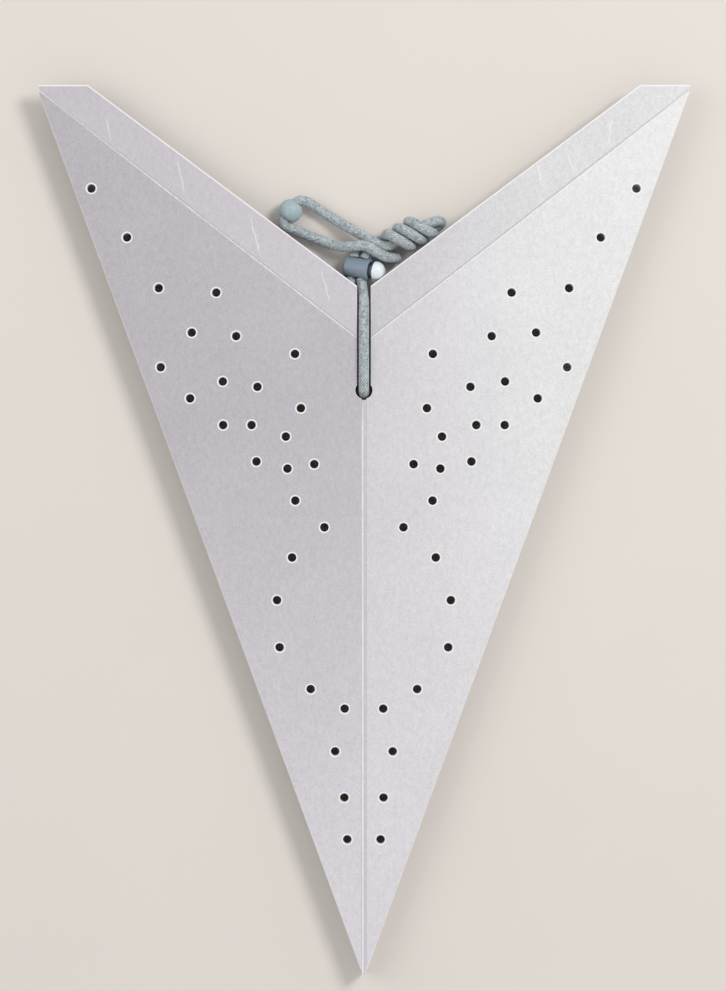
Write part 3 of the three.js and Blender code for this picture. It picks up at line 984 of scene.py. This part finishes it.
def shape_rims(bm, centres):
    """Shapes each punched hole's wall: a waist in the paper and a lip pressed up at the top."""
    tree = KDTree(len(centres))
    for index, centre in enumerate(centres):
        tree.insert(centre, index)
    tree.balance()
    reach = RIM_RINGS[-1][0] + NEAR
    walls = [
        edge
        for edge in bm.edges
        if not is_level(edge)
        and tree.find((edge.verts[0].co.x, edge.verts[0].co.y, 0))[2] < reach
    ]
    bmesh.ops.subdivide_edges(bm, edges=walls, cuts=len(RIM_RINGS) - 2)
    rim = {}
    for vert in bm.verts:
        centre, index, distance = tree.find((vert.co.x, vert.co.y, 0))
        if distance > reach:
            continue
        radius, height = RIM_RINGS[round(vert.co.z / PAPER * (len(RIM_RINGS) - 1))]
        outward = Vector((vert.co.x - centre.x, vert.co.y - centre.y, 0)).normalized()
        vert.co = Vector((centre.x, centre.y, height * PAPER)) + outward * radius
        rim[vert] = index
    for face in bm.faces:
        holes = {rim.get(vert) for vert in face.verts}
        if len(face.verts) == 4 and len(holes) == 1 and None not in holes:
            face.material_index = BARE
            face.smooth = True


def paper_sheet(node, outline, side, number, punched):
    """A cut, punched sheet of paper with soft, bare edges, for the node and body of its name."""
    bm = bmesh.new()
    corners = [bm.verts.new((across * side, along + APEX_Y, 0)) for across, along in outline]
    for pair in zip(corners, corners[1:] + corners[:1]):
        bm.edges.new(pair)
    centres = [Vector((across * side, along + APEX_Y, 0)) for across, along in punched]
    for centre in centres:
        bmesh.ops.create_circle(
            bm, segments=PUNCH_SIDES, radius=RIM_RINGS[-1][0], matrix=Matrix.Translation(centre),
        )
    bmesh.ops.triangle_fill(
        bm, use_beauty=True, use_dissolve=False, edges=bm.edges[:], normal=(0, 0, 1),
    )
    raised = bmesh.ops.extrude_face_region(bm, geom=bm.faces[:], use_keep_orig=True)["geom"]
    top = [item for item in raised if isinstance(item, bmesh.types.BMVert)]
    bmesh.ops.translate(bm, vec=(0, 0, PAPER), verts=top)
    bmesh.ops.recalc_face_normals(bm, faces=bm.faces[:])
    if centres:
        shape_rims(bm, centres)
    edges = []
    for face in bm.faces:
        if abs(face.normal.z) < UPRIGHT and not face.smooth:
            face.material_index = BARE
            edges += [edge for edge in face.edges if is_level(edge)]
    bmesh.ops.bevel(
        bm, geom=edges, offset=EDGE_BEVEL, segments=EDGE_STEPS, profile=0.5, affect="EDGES",
        material=BARE, clamp_overlap=True,
    )
    bmesh.ops.translate(bm, vec=(0, 0, (number - 1) * LEAF_PITCH), verts=bm.verts[:])
    piece(f"{node}_sheet", bm, PAPER_LOOK, node, "paper", node)


def fold_strip(leaf, number):
    """A leaf's scored middle fold, a low rounded ridge."""
    bm = bmesh.new()
    tip = APEX_Y - TIP_REACH + FOLD_TIP_CUT
    low = (number - 1) * LEAF_PITCH
    shoulder = PAPER - FOLD_SHOULDER
    section = [(-FOLD_HALF, 0), (FOLD_HALF, 0), (FOLD_HALF, shoulder), (FOLD_RIDGE_HALF, PAPER)]
    section += [(0, PAPER + FOLD_RIDGE), (-FOLD_RIDGE_HALF, PAPER), (-FOLD_HALF, shoulder)]
    corners = [bm.verts.new((across, tip, low + up)) for across, up in section]
    bmesh.ops.contextual_create(bm, geom=corners)
    run = bmesh.ops.extrude_face_region(bm, geom=bm.faces[:], use_keep_orig=True)["geom"]
    far = [item for item in run if isinstance(item, bmesh.types.BMVert)]
    top = -VALLEY_REACH - CORD_HOLE_DROP - CORD_HOLE_RADIUS - CLEARANCE + APEX_Y
    bmesh.ops.translate(bm, vec=(0, top - tip, 0), verts=far)
    narrowing = tip + FOLD_HALF / edge_slope(number) - FOLD_TIP_CUT
    bmesh.ops.bisect_plane(
        bm, geom=bm.verts[:] + bm.edges[:] + bm.faces[:], dist=0.0001,
        plane_co=(0, narrowing, 0), plane_no=(0, 1, 0),
    )
    for vert in bm.verts:
        if vert.co.y < tip + NEAR:
            vert.co.x *= FOLD_TIP_CUT * edge_slope(number) / FOLD_HALF
    bmesh.ops.recalc_face_normals(bm, faces=bm.faces[:])
    piece(f"{leaf}_scored_fold", bm, PAPER_LOOK, leaf, "paper", f"{leaf}_fold")


def leaf_pieces(number):
    """A leaf: its middle fold, its two sides and, on the two end leaves, their flaps."""
    leaf = f"leaf_{number:02d}"
    fold_strip(leaf, number)
    for side_name, side in (("left", -1), ("right", 1)):
        node = f"{leaf}_{side_name}"
        paper_sheet(node, side_outline(number), side, number, punch_places(number))
        if is_end(number):
            paper_sheet(f"{node}_flap", flap_outline(number), side, number, [])


for number in range(1, LEAF_COUNT + 1):
    leaf_pieces(number)


FLOOR_RADIUS = 4000
FLOOR_DROP = 0.3

# The room's light in metres and watts, and how bright it is on the lantern and to the camera
WINDOW = ((0.75, 0.55, 1.1), 0.5, 9)
BOUNCE = ((-0.9, 0.2, 0.9), 1.0, 3)
ROOM_LIGHT = 0.55
ROOM_SEEN = 0.86


def floor_finish():
    """A plain pale board."""
    plain = Finish.named("floor_board", {"Specular IOR Level": 0.1})
    soft = plain.noise(60, 2)
    plain.set({"Base Color": plain.shade(FLOOR_TONE, 0.985 + soft * 0.03), "Roughness": 0.9})
    return plain.material


def floor_piece():
    """A wide plain floor, just under the lowest leaf."""
    bm = bmesh.new()
    bmesh.ops.create_circle(bm, cap_ends=True, segments=96, radius=FLOOR_RADIUS)
    bmesh.ops.translate(bm, vec=(0, 0, -FLOOR_DROP), verts=bm.verts[:])
    put("floor", bm, [floor_finish()])


def lamp(name, place, size, power):
    """A round soft lamp that looks at the lantern."""
    data = bpy.data.lights.new(name, "AREA")
    data.shape = "DISK"
    data.size = size
    data.energy = power
    made = bpy.data.objects.new(name, data)
    made.location = place
    made.rotation_euler = (-Vector(place)).to_track_quat("-Z", "Y").to_euler()
    bpy.context.scene.collection.objects.link(made)


def room(light, seen):
    """Even light from all round, with a paler room where the camera or a gloss looks at it."""
    world = bpy.data.worlds.new("room")
    bpy.context.scene.world = world
    glow = Finish(world, "Background", {"Color": (1, 1, 1, 1)})
    looked_at = glow.node("ShaderNodeLightPath", {}, {}, "Is Camera Ray")
    mirrored = glow.node("ShaderNodeLightPath", {}, {}, "Is Glossy Ray")
    glow.set({"Strength": looked_at.larger(mirrored) * (seen - light) + light})


floor_piece()
lamp("window", *WINDOW)
lamp("bounce", *BOUNCE)
room(ROOM_LIGHT, ROOM_SEEN)

bpy.context.scene.view_settings.view_transform = "Standard"
